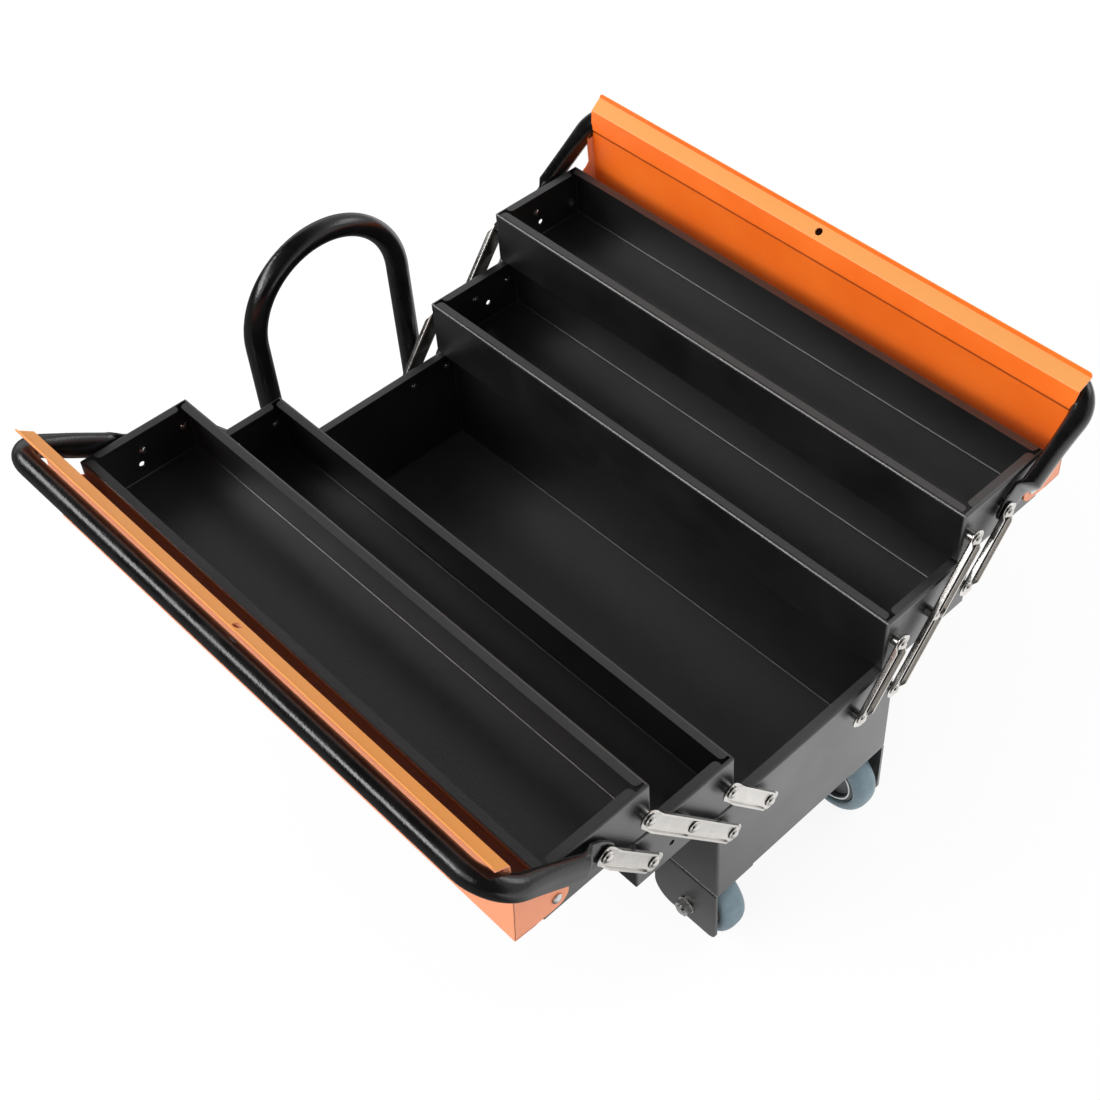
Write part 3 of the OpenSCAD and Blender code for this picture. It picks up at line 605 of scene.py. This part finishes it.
def linkMesh(name, size, steps, end, side, pivot):
    run = steps * size["pitch"]
    half, corner = size["half"], size["corner"]
    full, gone = size["tip"]
    line = []
    for turn in range(0, 91, 15):
        lean = math.radians(turn)
        wide = half - corner + corner * math.sin(lean)
        line.append((-half + corner * (1 - math.cos(lean)), wide))
    line += [(gone + (full - gone) * k / 5, half) for k in range(6)] + [(run / 2, half)]
    line = sorted(set(line))
    line += [(run - along, wide) for along, wide in reversed(line) if along < run / 2 - 0.001]
    swing = size["swing"]
    up = Vector((0, side * math.sin(swing), math.cos(swing)))
    over = Vector((0, side * math.cos(swing), -math.sin(swing)))
    bm = bmesh.new()
    rings = []
    for along, wide in line:
        near = min(along, run - along)
        depth = size["sheet"] + (size["depth"] - size["sheet"]) * smoothStep(gone, full, near)
        ring = []
        for p in channelSection(size, wide, depth):
            spot = Vector((middleX + end * (size["web"] + p.y), pivot.y, pivot.z))
            ring.append(bm.verts.new(spot + up * along + over * p.x))
        rings.append(ring)
    joinRings(bm, rings)
    return meshOf(name, bm, 30)


def linkPiece(size, side, word, kind, joint, steps, end, hand):
    pivot = jointPlace(f"{word}_{joint}")
    name = f"{word}{kind.capitalize()}Link{hand.capitalize()}"
    mesh = linkMesh(name, size, steps, end, side, pivot)
    node = f"{word}_{kind}_link_{hand}"
    piece = newPiece(name, mesh, finishes["link_chrome"], f"{word}_{kind}_links", node)
    way = Vector((0, side * math.sin(size["swing"]), math.cos(size["swing"])))
    for k in range(steps + 1):
        spot = Vector((middleX + end * size["web"], pivot.y, pivot.z)) + way * size["pitch"] * k
        cutHole(piece, spot, (1, 0, 0), size["bore"], size["cut"])
    piece.data.set_sharp_from_angle(angle=math.radians(30))


def linkSet(size):
    kinds = (("inner", "inner_swing", 1), ("long", "fold", 2), ("outer", "outer_swing", 1))
    for side, word in ((1, "back"), (-1, "front")):
        for kind, joint, steps in kinds:
            look = dict(size, corner=size["longCorner"]) if steps == 2 else size
            for end, hand in ((1, "right"), (-1, "left")):
                linkPiece(look, side, word, kind, joint, steps, end, hand)


linkSet(linkSizes)
print("links made")

rivetSizes = {
    "wall": 0.265,
    "sheet": 0.0012,
    "head": 0.2726,
    "shank": 0.0025,
    # radius and height of the outer head and of the inner tail, from the face that they sit on
    "headLine": [
        (0.0050, 0.0), (0.0050, 0.0005), (0.0047, 0.0008), (0.0041, 0.0010),
        (0.0037, 0.0016), (0.0030, 0.0023), (0.0020, 0.0028), (0.0010, 0.0030),
    ],
    "tailLine": [
        (0.0040, 0.0), (0.0040, 0.0006), (0.0036, 0.0012), (0.0026, 0.0019), (0.0014, 0.0023),
    ],
    "around": 32,
}


# Rivet along +X with its outer head at the high end, measured from the middle of the box
def rivetMesh(size):
    inside = size["wall"] - size["sheet"]
    line = [(radius, inside - height) for radius, height in reversed(size["tailLine"])]
    line += [(size["shank"], inside), (size["shank"], size["head"])]
    line += [(radius, size["head"] + height) for radius, height in size["headLine"]]
    bm = bmesh.new()
    rings = []
    for radius, x in line:
        turns = [2 * math.pi * k / size["around"] for k in range(size["around"])]
        rings.append([bm.verts.new((x, radius * math.cos(t), radius * math.sin(t))) for t in turns])
    joinRings(bm, rings)
    return meshOf("rivet", bm, 40)


# Node group that sets the rivet on every point, turned by the point's own attribute
def rivetTree():
    tree = bpy.data.node_groups.new("rivetRow", "GeometryNodeTree")
    face = tree.interface
    face.new_socket("Geometry", in_out="INPUT", socket_type="NodeSocketGeometry")
    face.new_socket("Rivet", in_out="INPUT", socket_type="NodeSocketObject")
    face.new_socket("Material", in_out="INPUT", socket_type="NodeSocketMaterial")
    face.new_socket("Geometry", in_out="OUTPUT", socket_type="NodeSocketGeometry")
    start, finish = tree.nodes.new("NodeGroupInput"), tree.nodes.new("NodeGroupOutput")
    source = tree.nodes.new("GeometryNodeObjectInfo")
    source.inputs["As Instance"].default_value = True
    turn = tree.nodes.new("GeometryNodeInputNamedAttribute")
    turn.data_type = "FLOAT_VECTOR"
    turn.inputs["Name"].default_value = "turn"
    toRotation = tree.nodes.new("FunctionNodeEulerToRotation")
    place = tree.nodes.new("GeometryNodeInstanceOnPoints")
    realize = tree.nodes.new("GeometryNodeRealizeInstances")
    paint = tree.nodes.new("GeometryNodeSetMaterial")
    join = tree.links.new
    join(start.outputs["Rivet"], source.inputs["Object"])
    join(start.outputs["Geometry"], place.inputs["Points"])
    join(source.outputs["Geometry"], place.inputs["Instance"])
    join(turn.outputs["Attribute"], toRotation.inputs["Euler"])
    join(toRotation.outputs["Rotation"], place.inputs["Rotation"])
    join(place.outputs["Instances"], realize.inputs["Geometry"])
    join(realize.outputs["Geometry"], paint.inputs["Geometry"])
    join(start.outputs["Material"], paint.inputs["Material"])
    join(paint.outputs["Geometry"], finish.inputs["Geometry"])
    return tree


def rivetRow(name, spots, tree, rivet, body, node):
    points = bpy.data.meshes.new(name + "Points")
    points.from_pydata([(middleX, y, z) for end, y, z in spots], [], [])
    turns = points.attributes.new("turn", "FLOAT_VECTOR", "POINT")
    for k, (end, y, z) in enumerate(spots):
        turns.data[k].vector = (0, 0, 0 if end > 0 else math.pi)
    holder = bpy.data.objects.new(name + "Points", points)
    scene.collection.objects.link(holder)
    change = holder.modifiers.new("rivets", "NODES")
    change.node_group = tree
    values = {"Rivet": rivet, "Material": finishes["link_chrome"]}
    for item in tree.interface.items_tree:
        if item.in_out == "INPUT" and item.name in values:
            change[item.identifier] = values[item.name]
    graph = bpy.context.evaluated_depsgraph_get()
    mesh = bpy.data.meshes.new_from_object(holder.evaluated_get(graph))
    bpy.data.objects.remove(holder)
    return newPiece(name, mesh, finishes["link_chrome"], body, node)


def rivetSet(size):
    rivet = bpy.data.objects.new("rivet", rivetMesh(size))
    scene.collection.objects.link(rivet)
    tree = rivetTree()
    spots = {}
    for side, word in ((1, "back"), (-1, "front")):
        for body, joints in (
            ("base", ("inner_swing", "fold")),
            (word + "_middle_tray", ("middle_level", "outer_swing")),
            (word + "_top_tray", ("top_level", "grip_swing")),
        ):
            places = [jointPlace(f"{word}_{joint}") for joint in joints]
            if "middle" in body:
                places.append(places[0] - (places[1] - places[0]))
            for place in places:
                spots.setdefault(body, []).extend((end, place.y, place.z) for end in (1, -1))
    for body, rows in spots.items():
        node = body.replace("_tray", "") + "_rivets"
        words = node.split("_")
        name = words[0] + "".join(word.capitalize() for word in words[1:])
        rivetRow(name, rows, tree, rivet, body, node)
    bpy.data.objects.remove(rivet)


rivetSet(rivetSizes)
print("rivets made")

wheelSizes = {
    # radius and distance from the middle plane of the wheel, from the inside out
    "tyre": [
        (0.0270, 0.0), (0.0270, 0.0104), (0.0277, 0.0113), (0.0290, 0.0118),
        (0.0306, 0.0119), (0.0323, 0.0116), (0.0340, 0.0107), (0.0355, 0.0091),
        (0.0366, 0.0069), (0.0373, 0.0042), (0.0375, 0.0018), (0.0375, 0.0),
    ],
    "hub": [
        (0.0041, 0.0), (0.0041, 0.0102), (0.0046, 0.0107), (0.0079, 0.0107), (0.0084, 0.0102),
        (0.0088, 0.0060), (0.0095, 0.0052), (0.0198, 0.0052), (0.0208, 0.0058), (0.0213, 0.0092),
        (0.0217, 0.0096), (0.0252, 0.0096), (0.0266, 0.0088), (0.0269, 0.0084), (0.0269, 0.0),
    ],
    # raised ring on each side of the hub, from its foot over its top, given a light finish as a
    # painted highlight where its chamfer catches the light
    "ring": [
        (0.0218, 0.0094), (0.0218, 0.0100), (0.0223, 0.0106),
        (0.0235, 0.0106), (0.0240, 0.0100), (0.0240, 0.0094),
    ],
    "around": 96,
}


# Closed line of radius and place along Y, turned about the wheel axis
def turnedRing(name, loop, middle, around):
    bm = bmesh.new()
    rings = []
    for k in range(around):
        turn = 2 * math.pi * k / around
        out = Vector((math.cos(turn), 0, math.sin(turn)))
        rings.append([
            bm.verts.new(middle + out * radius + Vector((0, reach, 0))) for radius, reach in loop])
    joinRings(bm, rings + rings[:1], False)
    return meshOf(name, bm, 40)


def wheelSet(size):
    for word in ("front", "back"):
        middle = jointPlace(f"{word}_wheel_spin")
        body = f"{word}_wheel"
        for kind in ("tyre", "hub"):
            line = size[kind]
            loop = line + [(radius, -reach) for radius, reach in reversed(line[1:-1])]
            mesh = turnedRing(f"{word}{kind.capitalize()}", loop, middle, size["around"])
            newPiece(mesh.name, mesh, finishes[kind], body, f"{word}_{kind}")
        # Raised rings on the hub, whose light finish is a painted highlight of the light their
        # chamfer catches
        for side, hand in ((1, "Left"), (-1, "Right")):
            loop = [(radius, side * reach) for radius, reach in size["ring"]]
            mesh = turnedRing(f"{word}HubTrim{hand}", loop, middle, size["around"])
            newPiece(mesh.name, mesh, finishes["trim"], body)


wheelSet(wheelSizes)
print("wheels made")

studio = {
    "floor": 12.0,
    "cameraGlow": 0.9,
    # what gloss sees of the floor, near the front left and the back right
    "floorGloss": (0.14, 1.36),
    "glossReach": (-0.05, 0.27),
    "skyGloss": (0.0, 0.75),  # what gloss sees overhead and low at the back
    "skyLight": 0.88,
    "lamps": [
        # name, place, size, power, target
        ("frontSoftbox", (-0.2, -2.4, 2.0), (2.6, 1.4), 20.0, (0, 0, 0.2)),
        ("stripSoftbox", (-1.4, -1.7, 1.7), (3.0, 0.7), 48.0, (0, 0, 0.2)),
        ("backSoftbox", (0.6, 2.2, 1.6), (1.6, 1.0), 13.0, (0, 0, 0.2)),
    ],
}


def skyBoard(look):
    world = bpy.data.worlds.new("studioWorld")
    scene.world = world
    board = Board(world, "OutputWorld")
    heading = board.add("TexCoord", out="Generated")
    depth = board.add("SeparateXYZ", None, {0: heading}, out="Y")
    height = board.add("SeparateXYZ", None, {0: heading}, out="Z")
    gloss = board.spread(depth * 0.8 - height * 0.6, -0.3, 0.06, look["skyGloss"])
    seen, isGloss = raysOf(board)
    level = seen + (1 - seen) * (isGloss * gloss + (1 - isGloss) * look["skyLight"])
    sky = board.add("Background", None, {"Color": (1, 1, 1, 1), "Strength": level})
    board.tree.links.new(sky.socket, board.end.inputs["Surface"])


def floorBoard(look):
    board = newMaterial("floorWhite")
    cloud = board.noise(0.4)
    pale = board.between(board.spread(cloud, 0.3, 0.7), rgb(246, 246, 246), rgb(250, 250, 250))
    paint = board.add("BsdfDiffuse", None, {"Color": pale})
    seen, isGloss = raysOf(board)
    place = board.place()
    across = board.add("SeparateXYZ", None, {0: place}, out="X")
    along = board.add("SeparateXYZ", None, {0: place}, out="Y")
    gloss = board.spread(across * 0.6 + along * 0.8, *look["glossReach"], look["floorGloss"])
    glow = board.add("Emission", None, {"Color": (1, 1, 1, 1), "Strength": seen + isGloss * gloss})
    share = seen * look["cameraGlow"] + isGloss
    mixed = board.add("MixShader", None, {0: share, 1: paint, 2: glow})
    board.tree.links.new(mixed.socket, board.end.inputs["Surface"])
    return board.material


def setStage(look):
    skyBoard(look)
    bm = bmesh.new()
    bmesh.ops.create_grid(bm, x_segments=8, y_segments=8, size=look["floor"] / 2)
    mesh = bpy.data.meshes.new("floor")
    bm.to_mesh(mesh)
    bm.free()
    floor = bpy.data.objects.new("floor", mesh)
    scene.collection.objects.link(floor)
    mesh.materials.append(floorBoard(look))
    for name, place, size, power, target in look["lamps"]:
        lamp = bpy.data.lights.new(name, "AREA")
        lamp.shape = "RECTANGLE"
        lamp.size, lamp.size_y = size
        lamp.energy = power
        holder = bpy.data.objects.new(name, lamp)
        holder.location = place
        aim = Vector(target) - Vector(place)
        holder.rotation_euler = aim.to_track_quat("-Z", "Y").to_euler()
        scene.collection.objects.link(holder)


setStage(studio)
print("stage set")

cameraLook = {
    "place": (0.75295, -0.6159, 1.2758),
    "azimuth": 46.14,
    "elevation": 47.06,
    "roll": -1.48,
    "lens": 57.63,
    "shift": (-0.0924, -0.0364),
}


def setCamera(look):
    turn, lift, roll = (math.radians(look[k]) for k in ("azimuth", "elevation", "roll"))
    flat = math.cos(lift)
    back = Vector((math.sin(turn) * flat, -math.cos(turn) * flat, math.sin(lift)))
    right = Vector((math.cos(turn), math.sin(turn), 0))
    up = back.cross(right)
    side = right * math.cos(roll) + up * math.sin(roll)
    top = up * math.cos(roll) - right * math.sin(roll)
    data = bpy.data.cameras.new("mainCamera")
    data.lens = look["lens"]
    data.sensor_width = 36
    data.shift_x, data.shift_y = look["shift"]
    data.clip_start, data.clip_end = 0.05, 50
    camera = bpy.data.objects.new("mainCamera", data)
    basis = Matrix((side, top, back)).transposed().to_4x4()
    camera.matrix_world = Matrix.Translation(look["place"]) @ basis
    scene.collection.objects.link(camera)
    scene.camera = camera


setCamera(cameraLook)
scene.view_settings.view_transform = "Standard"
print("camera set")
